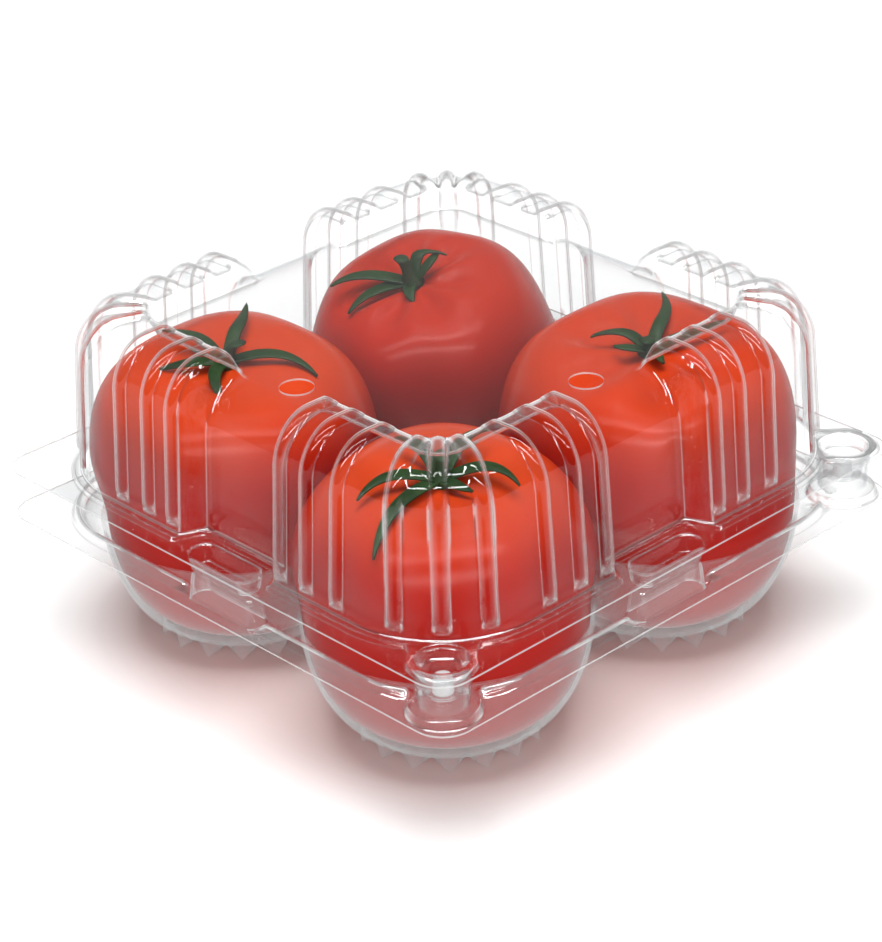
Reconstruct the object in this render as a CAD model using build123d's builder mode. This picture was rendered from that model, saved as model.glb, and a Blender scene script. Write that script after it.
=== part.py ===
from build123d import *
import os
from math import atan2, cos, degrees, radians, sin, tan

# A clear clamshell pack with four tomatoes: a tray of four bowls and a ribbed lid on a fold hinge.
# Millimetres, +Z up, origin on the table under the middle of the pack, hinge on the +Y side.

# Sheet and flanges
sheet = 0.5
flange_half = 90.0
flange_corner = 9.0
tray_height = 36.5
flange_gap = 14.0
seat_clearance = 0.3

# Tray bowls, feet and rim bead
bowl_web = 5.4
bowl_rings = 3
bowl_sides = 24
foot_radius = 21.0
foot_height = 3.0
foot_width = 4.6
foot_teeth = 16
tooth_width = 4.0
tooth_draft = 12.0
bead_height = 2.7
bead_half_width = 2.2
bead_inset = 6.0
bead_corner = 31.0
bead_draft = 25.0

# Lid walls, crests and waists
lid_depth = 48.0
crest_rise = 6.0
wall_inset = 7.3
wall_corner = 32.4
wall_draft = 4.0
wall_height = 34.0
corner_facets = 8
shoulder_steps = 3
shoulder_width = 11.6
crest_width = 7.5
crest_slope = 3.0
waist_half_width = 17.5
waist_depth = 7.2
waist_shoulder = 14.0
waist_steps = 4
panel_overlap = 22.0

# Ribs that run up the wall and over each crest
rib_height = 1.8
rib_width = 3.7
rib_start = 3.5
rib_shares = (0.437, 0.636, 0.865)
rib_turn = 22.5

# Vents, corner plugs, latches and hinge
vent_radius = 5.0
vent_place = 56.5
round_sides = 16
plug_inset = 11.1
plug_radius = 6.8
plug_depth = 9.0
plug_draft = 9.0
plug_clearance = 0.5
pedestal_radius = 10.0
pedestal_height = 2.5
latch_inset = 7.0
latch_length = 24.0
latch_width = 8.0
latch_depth = 5.0
latch_draft = 8.0
ridge_length = 27.0
ridge_width = 7.5
ridge_clearance = 1.5
hinge_half_length = 58.0
hinge_clearance = 0.15

# Tomatoes
tomato_lift = 9.5
crown_room = 6.5
crown_rings = 5
seat_rings = 4
tomato_sides = 16
calyx_tips = 6
calyx_reach = 20.0
calyx_waist = 4.5
calyx_thickness = 1.0
stem_radius = 2.2
stem_length = 5.0

# Levels and places worked out from the values above
lid_level = tray_height + flange_gap
panel_depth = lid_depth - crest_rise
wall_half = flange_half - wall_inset
corner_axis = wall_half - wall_corner
waist_half = wall_half - waist_depth
draft_slope = tan(radians(wall_draft))
crest_start = draft_slope * wall_height + shoulder_width
crest_end = crest_start + crest_width
hinge_level = tray_height + flange_gap / 2
hinge_place = flange_half - sheet / 2
plug_place = flange_half - plug_inset
latch_place = flange_half - latch_inset
bead_half = flange_half - bead_inset
bowl_spread = bead_half / 2
bowl_radius = bowl_spread - bowl_web / 2
rib_places = [corner_axis * share for share in rib_shares]
ridge_height = flange_gap + sheet - latch_depth - ridge_clearance
tomato_radius = bowl_radius - seat_clearance
tomato_middle = tray_height + tomato_lift
tomato_crown = lid_level + panel_depth - sheet - crown_room - tomato_middle
tomato_drop = tomato_middle - foot_height - sheet - seat_clearance
cut_margin = 1.0
latch_sides = {"left": -90, "front": 0, "right": 90}
vent_sides = ("left", "front")
corners = {"front_left": (-1, -1), "front_right": (1, -1), "back_left": (-1, 1), "back_right": (1, 1)}


def draw(points, plane):
    """Closed outline on a plane, as a face for extrude."""
    with BuildSketch(plane) as sketch:
        with BuildLine():
            Polyline(*points, close=True)
        make_face()
    return sketch.sketch


def level_plane(level):
    """Flat plane at a height above the table."""
    return Plane.XY.offset(level)


def corner_points(axis, radius):
    """Facets round the corner at +X +Y, whose flats touch a circle about an upright axis."""
    step = 90 / corner_facets
    reach = radius / cos(radians(step / 2))
    turns = [radians(step * (count + 0.5)) for count in range(corner_facets)]
    return [(axis + reach * cos(turn), axis + reach * sin(turn)) for turn in turns]


def round_square(half, corner, level):
    """Square with faceted round corners, centred on the pack."""
    quarter = corner_points(half - corner, corner)
    points = []
    for turn in (0, 90, 180, 270):
        along = cos(radians(turn))
        across = sin(radians(turn))
        points += [(x * along - y * across, x * across + y * along) for x, y in quarter]
    return draw(points, level_plane(level))


def stack(outline, section):
    """Tapered slices of one outline, from a list of (distance in, height) points, lowest first."""
    for (low_inset, low), (high_inset, high) in zip(section, section[1:]):
        taper = degrees(atan2(high_inset - low_inset, high - low))
        extrude(outline(low_inset, low), amount=high - low, taper=taper)


def hanging(faces, depth, draft):
    """Solid that narrows downwards from its top, from faces drawn at that top's mirrored height."""
    upside_down = extrude(faces, amount=depth, taper=draft, mode=Mode.PRIVATE)
    return mirror(upside_down, about=Plane.XY, mode=Mode.PRIVATE)


def lobe_plan(inset, height):
    """Plan of the lid lobe at +X +Y, drawn in from the wall's foot."""
    flank = waist_half_width + inset
    side = wall_half - inset
    corner = corner_points(corner_axis, wall_corner - inset)
    return draw([(flank, flank), (side, flank), *corner, (flank, side)], level_plane(lid_level + height))


def shoulder_points(wall_top, rise):
    """Steps of the round shoulder, from the wall's top to the start of the crest."""
    turns = [radians(90 * count / shoulder_steps) for count in range(shoulder_steps + 1)]
    reach = crest_start - wall_top
    return [(crest_start - reach * cos(turn), wall_height + rise * sin(turn)) for turn in turns]


def rib_outline(inset):
    """Side view of a rib: up the wall, over the shoulder and along the crest."""
    wall_top = draft_slope * wall_height + inset - rib_height
    rise = lid_depth + rib_height - inset - wall_height
    foot = rib_start + inset
    top = lid_depth - inset
    points = [(crest_start, foot), (inset, foot), (inset - rib_height, foot + rib_height)]
    points += shoulder_points(wall_top, rise)
    points += [(crest_end - rib_height - inset, top + rib_height), (crest_end - inset, top)]
    points += [(crest_end - inset, wall_height)]
    return points


def wall_plane(x, y, turn):
    """Upright plane through a point of the lid wall's foot: local X points inwards, local Y up."""
    normal_x = cos(radians(turn))
    normal_y = sin(radians(turn))
    return Plane((x, y, lid_level), x_dir=(-normal_x, -normal_y, 0), z_dir=(-normal_y, normal_x, 0))


def rib_planes():
    """Middle planes of the ribs of the lobe at +X +Y."""
    planes = [wall_plane(wall_half, place, 0) for place in rib_places]
    planes += [wall_plane(place, wall_half, 90) for place in rib_places]
    for turn in (45 - rib_turn, 45, 45 + rib_turn):
        x = corner_axis + wall_corner * cos(radians(turn))
        y = corner_axis + wall_corner * sin(radians(turn))
        planes.append(wall_plane(x, y, turn))
    return planes


def panel_face(inset, bottom, plane):
    """Section of the lid across two waists: upright sides, rounded shoulders and a flat top."""
    half = waist_half - inset
    top = panel_depth - inset
    rounding = waist_shoulder - inset
    side_foot = half - draft_slope * bottom
    side_top = half - draft_slope * (top - rounding)
    turns = [radians(90 * count / waist_steps) for count in range(waist_steps + 1)]
    middle_x = side_top - rounding
    middle_y = top - rounding
    right = [(middle_x + rounding * cos(turn), middle_y + rounding * sin(turn)) for turn in turns]
    left = [(-x, y) for x, y in reversed(right)]
    return draw([(side_foot, bottom), *right, *left, (-side_foot, bottom)], plane)


def lid_form(inset, bottom):
    """Solid form of the lid above its flange: four ribbed lobes round a lower cross-shaped panel."""
    wall_top = draft_slope * wall_height + inset
    section = [(draft_slope * bottom + inset, bottom)]
    section += shoulder_points(wall_top, lid_depth - inset - wall_height)
    hollow_half = wall_half - crest_end - crest_slope + inset
    hollow_corner = wall_corner - crest_end - crest_slope + inset
    hollow_draft = degrees(atan2(crest_slope, crest_rise))
    with BuildPart() as lobe:
        stack(lobe_plan, section)
        hollow_top = crest_rise + rib_height
        hollow_growth = crest_slope / crest_rise * hollow_top
        hollow_level = lid_level + panel_depth - inset + hollow_top
        hollow = round_square(hollow_half + hollow_growth, hollow_corner + hollow_growth, -hollow_level)
        add(hanging(hollow, hollow_top, hollow_draft), mode=Mode.SUBTRACT)
        ribs = [draw(rib_outline(inset), plane) for plane in rib_planes()]
        add([extrude(rib, rib_width / 2 - inset, both=True, mode=Mode.PRIVATE) for rib in ribs])
    reach = wall_half - panel_overlap - inset
    with BuildPart() as form:
        for plane in (
            Plane((0, reach, lid_level), x_dir=(1, 0, 0), z_dir=(0, -1, 0)),
            Plane((reach, 0, lid_level), x_dir=(0, -1, 0), z_dir=(-1, 0, 0)),
        ):
            extrude(panel_face(inset, bottom, plane), amount=2 * reach)
        with PolarLocations(0, 4):
            add(lobe.part)
    return form.part


def flange_face(level):
    """Square flange with round corners."""
    with BuildSketch(level_plane(level)) as sketch:
        RectangleRounded(2 * flange_half, 2 * flange_half, flange_corner)
    return sketch.sketch


def side_point(side, distance):
    """Plan point on the middle line of one side, at a distance from the centre."""
    turn = radians(latch_sides[side])
    return (distance * sin(turn), -distance * cos(turn))


def latch_faces(length, width, level):
    """Oblongs at the three latches, each with its long way along its side."""
    with BuildSketch(level_plane(level)) as sketch:
        for side, turn in latch_sides.items():
            with Locations(Location((*side_point(side, latch_place), 0), (0, 0, turn))):
                Rectangle(length, width)
    return sketch.sketch


def plug_faces(radius, level):
    """Many-sided rounds at the two corners away from the hinge."""
    with BuildSketch(level_plane(level)) as sketch:
        with Locations((-plug_place, -plug_place), (plug_place, -plug_place)):
            RegularPolygon(radius, round_sides)
    return sketch.sketch


def bowl_faces(radius, level):
    """Many-sided rounds at the four bowls, with flats that touch a circle of this radius."""
    with BuildSketch(level_plane(level)) as sketch:
        with GridLocations(2 * bowl_spread, 2 * bowl_spread, 2, 2):
            RegularPolygon(radius, bowl_sides, major_radius=False)
    return sketch.sketch


def tooth_faces(level):
    """Rings of short oblongs under the four bowls."""
    with BuildSketch(level_plane(level)) as sketch:
        with GridLocations(2 * bowl_spread, 2 * bowl_spread, 2, 2):
            with PolarLocations(foot_radius, foot_teeth):
                Rectangle(foot_width, tooth_width)
    return sketch.sketch


def bowl_section(rim, floor):
    """Half section of a bowl as (radius, height) points, from its rim down to its flat floor."""
    flat = foot_radius + foot_width / 2
    turns = [radians(90 * count / bowl_rings) for count in range(bowl_rings + 1)]
    reach = rim - flat
    depth = tray_height - floor
    return [(flat + reach * cos(turn), tray_height - depth * sin(turn)) for turn in turns]


def bowl_form(rim, floor):
    """Solid form of the four bowls, slice by slice from the rim down."""
    section = bowl_section(rim, floor)
    with BuildPart() as form:
        for (wide, high), (narrow, low) in zip(section, section[1:]):
            taper = degrees(atan2(wide - narrow, high - low))
            add(hanging(bowl_faces(wide, -high), high - low, taper))
    return form.part


# Lid: a thin shell with a flat flange, two corner plugs, three latch pockets and two vents
lid_outside = lid_form(0, 0)
lid_inside = lid_form(sheet, -cut_margin)
lid_top = lid_level + sheet
with BuildPart() as lid:
    extrude(flange_face(lid_level), amount=sheet)
    add(hanging(plug_faces(plug_radius, -lid_top), plug_depth, plug_draft))
    add(hanging(latch_faces(latch_length, latch_width, -lid_top), latch_depth, latch_draft))
    hinge_drop = lid_level - hinge_level - hinge_clearance
    with Locations((0, hinge_place, lid_level - hinge_drop / 2)):
        Box(2 * hinge_half_length, sheet, hinge_drop)
    plug_hollow = plug_faces(plug_radius - sheet, -lid_top)
    add(hanging(plug_hollow, plug_depth - sheet, plug_draft), mode=Mode.SUBTRACT)
    latch_hollow = latch_faces(latch_length - 2 * sheet, latch_width - 2 * sheet, -lid_top)
    add(hanging(latch_hollow, latch_depth - sheet, latch_draft), mode=Mode.SUBTRACT)
    add(lid_outside)
    add(lid_inside, mode=Mode.SUBTRACT)
    with Locations(*[(*side_point(side, vent_place), lid_level + panel_depth) for side in vent_sides]):
        Cylinder(vent_radius, 2 * crest_rise, mode=Mode.SUBTRACT)
lid.part.label = "lid"

# Tray: a flange with a raised rim bead, four bowls on toothed feet, plug cups and latch ridges
flange_under = tray_height - sheet
socket_top = lid_level - seat_clearance
socket_height = socket_top - tray_height
cup_depth = socket_height - pedestal_height
cup_radius = plug_radius + plug_clearance
with BuildPart() as tray:
    bead_outside = round_square(bead_half + bead_half_width, bead_corner, tray_height)
    extrude(bead_outside, amount=bead_height, taper=bead_draft)
    bead_inside = round_square(bead_half - bead_half_width, bead_corner, tray_height)
    extrude(bead_inside, amount=bead_height, taper=-bead_draft, mode=Mode.SUBTRACT)
    extrude(flange_face(flange_under), amount=sheet)
    extrude(plug_faces(pedestal_radius, tray_height), amount=pedestal_height)
    add(hanging(plug_faces(cup_radius + sheet, -socket_top), cup_depth, plug_draft))
    ridge_outside = latch_faces(ridge_length, ridge_width, tray_height)
    extrude(ridge_outside, amount=ridge_height, taper=latch_draft)
    hinge_rise = hinge_level - hinge_clearance - tray_height
    with Locations((0, hinge_place, tray_height + hinge_rise / 2)):
        Box(2 * hinge_half_length, sheet, hinge_rise)
    add(bowl_form(bowl_radius + sheet, foot_height))
    add(hanging(tooth_faces(-foot_height), foot_height, tooth_draft))
    groove_outside = round_square(bead_half + bead_half_width - sheet, bead_corner, flange_under)
    groove_inside = round_square(bead_half - bead_half_width + sheet, bead_corner, flange_under)
    groove = extrude(groove_outside, amount=bead_height, taper=bead_draft, mode=Mode.PRIVATE)
    groove -= extrude(groove_inside, amount=bead_height, taper=-bead_draft, mode=Mode.PRIVATE)
    add(groove, mode=Mode.SUBTRACT)
    extrude(plug_faces(pedestal_radius - sheet, flange_under), amount=pedestal_height, mode=Mode.SUBTRACT)
    add(hanging(plug_faces(cup_radius, -socket_top), cup_depth, plug_draft), mode=Mode.SUBTRACT)
    ridge_hollow = latch_faces(ridge_length - 2 * sheet, ridge_width - 2 * sheet, flange_under)
    extrude(ridge_hollow, amount=ridge_height, taper=latch_draft, mode=Mode.SUBTRACT)
    add(bowl_form(bowl_radius, foot_height + sheet), mode=Mode.SUBTRACT)
tray.part.label = "base_tray"


def tomato_half(height, middle, rings, x, y):
    """Half of a tomato, slice by slice from its widest level up to its flat end."""
    turns = [radians(90 * count / (rings + 1)) for count in range(rings + 1)]
    section = [(tomato_radius * cos(turn), middle + height * sin(turn)) for turn in turns]
    with BuildPart() as half:
        for (wide, low), (narrow, high) in zip(section, section[1:]):
            with BuildSketch(level_plane(low)) as ring:
                with Locations((x, y)):
                    RegularPolygon(wide, tomato_sides, major_radius=False)
            extrude(ring.sketch, amount=high - low, taper=degrees(atan2(wide - narrow, high - low)))
    return half.part


os.makedirs("parts", exist_ok=True)
export_step(lid.part, "parts/lid.step")
export_step(tray.part, "parts/base_tray.step")

# Tomatoes and their calyxes, one of each in every bowl
for name, (side_x, side_y) in corners.items():
    x = side_x * bowl_spread
    y = side_y * bowl_spread
    with BuildPart() as tomato:
        add(tomato_half(tomato_crown, tomato_middle, crown_rings, x, y))
        crown_level = tomato.part.bounding_box().max.Z
        lower_half = tomato_half(tomato_drop, -tomato_middle, seat_rings, x, y)
        add(mirror(lower_half, about=Plane.XY, mode=Mode.PRIVATE))
    tomato.part.label = "tomato_" + name
    export_step(tomato.part, "parts/tomato_" + name + ".step")
    with BuildPart() as calyx:
        with BuildSketch(level_plane(crown_level)):
            with BuildLine():
                turns = [radians(180 * count / calyx_tips) for count in range(2 * calyx_tips)]
                reaches = [calyx_reach, calyx_waist] * calyx_tips
                Polyline(*[(x + r * cos(t), y + r * sin(t)) for r, t in zip(reaches, turns)], close=True)
            make_face()
        extrude(amount=calyx_thickness)
        with BuildSketch(level_plane(crown_level + calyx_thickness)):
            with Locations((x, y)):
                RegularPolygon(stem_radius, calyx_tips)
        extrude(amount=stem_length)
    calyx.part.label = "calyx_" + name
    export_step(calyx.part, "parts/calyx_" + name + ".step")
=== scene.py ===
import math

import bmesh
import bpy
import numpy as np
from mathutils import Matrix, Vector
from mathutils.geometry import delaunay_2d_cdt


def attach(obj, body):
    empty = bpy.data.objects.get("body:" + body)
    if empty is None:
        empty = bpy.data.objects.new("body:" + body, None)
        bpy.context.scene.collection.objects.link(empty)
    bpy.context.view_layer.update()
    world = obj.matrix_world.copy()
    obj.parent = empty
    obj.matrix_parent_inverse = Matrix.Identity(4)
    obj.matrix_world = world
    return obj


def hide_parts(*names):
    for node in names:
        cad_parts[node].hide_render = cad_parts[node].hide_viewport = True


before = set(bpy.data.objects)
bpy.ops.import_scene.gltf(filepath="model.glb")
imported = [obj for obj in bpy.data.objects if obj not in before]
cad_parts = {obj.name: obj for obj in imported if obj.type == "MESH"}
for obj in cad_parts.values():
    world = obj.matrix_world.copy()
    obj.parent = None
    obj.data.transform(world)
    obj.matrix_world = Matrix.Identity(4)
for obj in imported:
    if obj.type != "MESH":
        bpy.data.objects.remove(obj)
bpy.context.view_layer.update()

# Looks of a clear clamshell pack with four tomatoes. Sizes are in millimetres in the part's own frame
# and become metres when a mesh is made. The hinge is on the +Y side.
to_metres = 0.001

# Sheet and flanges
sheet = 0.5
flange_half = 90.0
flange_corner = 9.0
tray_level = 36.5
lid_level = 50.5
lid_top = lid_level + sheet

# Lid wall, shoulder, crest and panel. Distances go in from the wall's foot, depths up from the flange
wall_half = 82.7
wall_corner = 32.4
wall_draft = 4.0
wall_height = 34.0
lid_depth = 48.0
panel_depth = 42.0
shoulder_width = 11.6
crest_width = 7.5
crest_slope = 3.0
panel_edge = 26.0
corner_axis = wall_half - wall_corner
wall_slope = math.tan(math.radians(wall_draft))
crest_start = wall_slope * wall_height + shoulder_width
crest_end = crest_start + crest_width
slope_end = crest_end + crest_slope
panel_underside = lid_level + panel_depth - sheet

# Waists in the middle of each side, which blend into the lobes between two places along the side
waist_depth = 7.2
waist_round = 14.0
waist_edge = 23.4
waist_lobe_start = 15.2
waist_lobe_end = 19.6

# Raised band at the wall's foot and the step down from it. A guard line keeps the bend at an edge narrow
foot_fillet = 0.7
step_rise = 1.0
step_width = 0.65
waist_band = 0.5
lobe_band = 1.6
guard = 0.4

# Ribs, by their place along a side or their turn round a corner
rib_height = 1.8
rib_half_width = 2.45
rib_places = (22.0, 32.0, 43.5)
rib_turns = (22.5, 45.0, 67.5)
between_ribs = (26.0, 28.0, 35.5, 37.5, 39.5, 47.0, 49.0)
rib_foot = 3.0
rib_run_in = 3.5
rib_end_before = 2.0
rib_end_after = 1.0

# Vents, plugs, latches and hinge. The plug turns, in degrees from a corner's middle, are where the
# flange's step leaves the round about a plug
round_points = 48
vent_radius = 4.8
vent_place = 54.3
plug_place = 78.9
plug_radius = 7.2
plug_disc = 9.4
plug_boss = 2.8
plug_reach = math.sqrt(2) * (plug_place - corner_axis)
plug_turns = (12.4, 15.4)
plugs = [(side * plug_place, -plug_place) for side in (-1, 1)]
latch_place = 83.0
latch_turns = {"left": 180, "front": 270, "right": 0}
hinge_half = 58.0
hinge_level = 43.5
hinge_slit = 0.15

# Bowls and their toothed feet
bowl_points = 192
bowl_spread = 42.0
bowl_radius = 39.3
bowl_rim = bowl_radius + sheet
bowl_flat = 19.0
bowl_floor = 3.5
bowl_veil_level = 35.5
foot_teeth = 16
tooth_root = 20.5
tooth_tip = 25.0
tooth_level = 5.5
tooth_point = 0.75
tooth_flare = 0.8
arch_dip = 0.8
arch_inset = 1.6
bowls = [(x * bowl_spread, y * bowl_spread) for x in (-1, 1) for y in (-1, 1)]

# Rim bead of the tray, with gaps at the plugs and the latches, and the plug cups on their pedestals
bead_half = 84.0
bead_corner = 31.0
bead_width = 2.0
bead_height = 2.7
bead_curve = 0.9
bead_lines = (-1.95, -1.4, -0.7, 0.0, 0.7, 1.4, 1.95)
bead_plug_gap = (10.6, 12.6)
bead_latch_gap = (14.2, 16.2)
pedestal_height = 2.5
pedestal_edge = (9.3, 10.2)
pedestal_lines = (9.2, 9.6, 10.0, 10.3, 10.7)
cup_radius = 6.6
cup_floor = tray_level + pedestal_height

# Tomatoes, and how softly they and their leaves press against the lid
tomato_bottom = 3.8
seat_bulge = 3.2
lean_rise = 22.0
crown_low = 58.0
crown_high = 84.0
leaf_thickness = 0.6
lid_gap = 0.4
leaf_gap = 0.9
press_range = 2.5
covered_below = 4.0
covered_above = 2.0

# Bends, in turn for each millimetre along the sheet, from which it starts to shine and shines most
soft_bend = 0.2
tight_bend = 0.55

# Latches as steps of (half length, half width, corner, height): troughs in the lid, ridges in the tray
trough_steps = (
    (12.7, 4.6, 3.4, 0.0), (12.2, 4.1, 3.0, -0.35), (11.9, 3.8, 2.8, -1.2),
    (11.3, 3.3, 2.4, -4.3), (10.9, 2.9, 2.0, -4.9), (10.2, 2.2, 1.5, -5.0))
ridge_steps = (
    (13.5, 3.75, 2.6, 0.0), (13.3, 3.55, 2.5, 0.5), (12.7, 3.0, 2.2, 6.2),
    (12.5, 2.8, 2.0, 7.1), (12.1, 2.4, 1.7, 7.8), (11.3, 1.6, 1.0, 8.0))

# Section of a plug as (radius, depth under the lid's flange), and of its cup as (radius, level)
plug_section = (
    (plug_radius, -1.0), (6.95, -0.85), (6.8, -0.4), (6.5, 2.6), (5.9, 3.0), (5.7, 3.4), (5.0, 8.0),
    (4.7, 8.4), (4.0, 8.5), (2.9, 8.4), (2.7, 8.0), (2.5, 4.2), (2.2, 3.9))
cup_section = ((cup_radius, cup_floor), (6.9, 39.4), (7.7, 49.4), (7.9, 49.9), (8.1, 50.1))
cup_floor_section = ((cup_radius, cup_floor), (3.0, cup_floor))


def smooth_step(value, start, end):
    """0 before start, 1 after end and a soft rise between them."""
    share = np.clip((np.asarray(value, float) - start) / (end - start), 0, 1)
    return share * share * (3 - 2 * share)


# Mesh helpers
def add_object(name, data):
    """New object in the scene."""
    made = bpy.data.objects.new(name, data)
    bpy.context.scene.collection.objects.link(made)
    return made


def make_piece(name, points, faces, material, join=0.02):
    """Smooth-shaded mesh from points in millimetres. Points closer than join become one."""
    mesh = bpy.data.meshes.new(name)
    scaled = (np.asarray(points, float) * to_metres).tolist()
    mesh.from_pydata(scaled, [], [list(map(int, face)) for face in faces])
    work = bmesh.new()
    work.from_mesh(mesh)
    bmesh.ops.remove_doubles(work, verts=work.verts, dist=join * to_metres)
    bmesh.ops.recalc_face_normals(work, faces=work.faces)
    work.to_mesh(mesh)
    work.free()
    mesh.polygons.foreach_set("use_smooth", [True] * len(mesh.polygons))
    mesh.materials.append(material)
    return add_object(name, mesh)


def face_upwards(piece):
    """Turns all faces over if the large level ones look down."""
    mesh = piece.data
    level_faces = [face for face in mesh.polygons if abs(face.normal.z) > 0.9]
    lift = sum(face.normal.z * face.area for face in level_faces)
    if lift < 0:
        mesh.flip_normals()


def thicken(piece, thickness, edge=None):
    """Gives a single surface its thickness, on the side away from its normals. With an edge material, the
    trimmed edge gets it and sharp folds stay crisp."""
    crisp_angle = 55
    modifier = piece.modifiers.new("thickness", "SOLIDIFY")
    modifier.thickness = thickness * to_metres
    modifier.offset = -1
    modifier.use_even_offset = False
    if edge is not None:
        piece.data.materials.append(edge)
        modifier.material_offset_rim = 1
        crisp = piece.modifiers.new("crisp edges", "EDGE_SPLIT")
        crisp.split_angle = math.radians(crisp_angle)


def store_values(piece, name, values):
    """Keeps one number for each point of a piece, for its material."""
    attribute = piece.data.attributes.new(name, "FLOAT", "POINT")
    attribute.data.foreach_set("value", values.astype(np.float32))


def mark_bends(piece, plain=()):
    """Stores for each point how tightly the sheet bends there, from 0 at a soft bend to 1 at a tight one.
    Points inside a plain circle (x, y, radius) stay 0."""
    least_gap = 0.05
    work = bmesh.new()
    work.from_mesh(piece.data)
    bend = np.zeros(len(work.verts))
    for edge in work.edges:
        if len(edge.link_faces) == 2:
            first, second = edge.link_faces
            turn = (first.normal - second.normal).length
            gap = (first.calc_center_median() - second.calc_center_median()).length / to_metres
            for corner in edge.verts:
                bend[corner.index] = max(bend[corner.index], turn / max(gap, least_gap))
    places = np.array([corner.co for corner in work.verts]) / to_metres
    work.free()
    for x, y, radius in plain:
        bend[np.hypot(places[:, 0] - x, places[:, 1] - y) < radius] = 0
    store_values(piece, "bend", smooth_step(bend, soft_bend, tight_bend))


class Surface:
    """Collects points and faces of one sheet."""

    def __init__(self):
        self.points = []
        self.faces = []

    def add(self, points, faces):
        start = len(self.points)
        self.points.extend(np.asarray(points, float).tolist())
        self.faces.extend([[start + index for index in face] for face in faces])

    def add_rings(self, rings, close_end=False):
        """Joins rings of equal point count with quads. The last ring can close to its middle."""
        count = len(rings[0])
        points = np.concatenate([np.asarray(ring, float) for ring in rings])
        faces = []
        for row in range(len(rings) - 1):
            for column in range(count):
                following = (column + 1) % count
                low = row * count
                faces.append((low + column, low + following, low + count + following, low + count + column))
        if close_end:
            middle = points[-count:].mean(axis=0)
            points = np.vstack([points, middle])
            last = (len(rings) - 1) * count
            for column in range(count):
                faces.append((last + column, last + (column + 1) % count, len(points) - 1))
        self.add(points, faces)


def inside(points, loop):
    """True for each plan point inside a closed loop."""
    x, y = points[:, 0], points[:, 1]
    result = np.zeros(len(points), bool)
    for (x1, y1), (x2, y2) in zip(loop, np.roll(loop, -1, axis=0)):
        crosses = (y1 > y) != (y2 > y)
        if y1 != y2:
            result ^= crosses & (x < (x2 - x1) * (y - y1) / (y2 - y1) + x1)
    return result


def fill(outer, holes, lines=()):
    """Triangles between an outer loop and holes, with extra closed lines kept as edges."""
    same_place = 1e-5
    points = []
    edges = []
    for loop in (outer, *holes, *lines):
        start = len(points)
        count = len(loop)
        points.extend([Vector((float(x), float(y))) for x, y in loop])
        edges.extend([(start + index, start + (index + 1) % count) for index in range(count)])
    made = delaunay_2d_cdt(points, edges, [], 0, same_place)
    plan = np.array([(point.x, point.y) for point in made[0]])
    triangles = np.array([list(face) for face in made[2]])
    middles = plan[triangles].mean(axis=1)
    keep = inside(middles, np.asarray(outer, float))
    for hole in holes:
        keep &= ~inside(middles, np.asarray(hole, float))
    return plan, triangles[keep]


def circle(radius, x, y, count):
    """Closed plan loop round a point."""
    turns = 2 * np.pi * np.arange(count) / count
    return np.column_stack([x + radius * np.cos(turns), y + radius * np.sin(turns)])


def rounded_rectangle(half_x, half_y, corner, steps, gap=8.0, parts=None):
    """Closed plan loop with round corners. Its straight sides have points about a gap apart, or a set
    number of parts."""
    points = []
    for turn, (side_x, side_y) in zip((0, 90, 180, 270), ((1, 1), (-1, 1), (-1, -1), (1, -1))):
        middle = np.array([side_x * (half_x - corner), side_y * (half_y - corner)])
        for step in range(steps + 1):
            angle = math.radians(turn + 90 * step / steps)
            points.append(middle + corner * np.array([math.cos(angle), math.sin(angle)]))
    dense = []
    for index, (start, end) in enumerate(zip(points, points[1:] + points[:1])):
        count = max(1, int(np.linalg.norm(end - start) // gap))
        if parts and index % (steps + 1) == steps:
            count = parts
        dense.extend([start + (end - start) * step / count for step in range(count)])
    return np.array(dense)


def turned(points, degrees, x, y):
    """Plan points turned about the origin and then moved."""
    angle = math.radians(degrees)
    rotation = np.array([[math.cos(angle), math.sin(angle)], [-math.sin(angle), math.cos(angle)]])
    return np.asarray(points) @ rotation + np.array([x, y])


def at_level(plan, level):
    """Plan points lifted to one level."""
    return np.column_stack([plan, np.full(len(plan), level)])


# Material helpers
def new_node(nodes, kind, values=()):
    """Shader node with plain values for some sockets, by name."""
    node = nodes.new("ShaderNode" + kind)
    for name, value in dict(values).items():
        node.inputs[name].default_value = value
    return node


def link(source, target):
    """Joins a node's output socket to an input socket."""
    source.id_data.links.new(source, target)


def new_material(name):
    """Empty node material, with its nodes and their output."""
    material = bpy.data.materials.new(name)
    material.use_nodes = True
    nodes = material.node_tree.nodes
    nodes.clear()
    output = new_node(nodes, "OutputMaterial")
    return material, nodes, output


def maths(nodes, operation, first, second):
    """Sum, product or power of two values, each a socket or a number."""
    node = new_node(nodes, "Math")
    node.operation = operation
    for socket, value in zip(node.inputs, (first, second)):
        if isinstance(value, (int, float)):
            socket.default_value = value
        else:
            link(value, socket)
    return node.outputs[0]


def map_range(nodes, value, low, high, start, end):
    """Soft change from start to end as a value goes from low to high."""
    ends = {"From Min": low, "From Max": high, "To Min": start, "To Max": end}
    node = new_node(nodes, "MapRange", ends)
    node.interpolation_type = "SMOOTHSTEP"
    link(value, node.inputs["Value"])
    return node.outputs["Result"]


def mix_colours(nodes, factor, first, second):
    """Blend of two colours, each a socket or plain red, green and blue."""
    node = new_node(nodes, "Mix")
    node.data_type = "RGBA"
    link(factor, node.inputs["Factor"])
    for name, colour in (("A", first), ("B", second)):
        if isinstance(colour, tuple):
            node.inputs[name].default_value = (*colour, 1)
        else:
            link(colour, node.inputs[name])
    return node.outputs["Result"]


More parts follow.
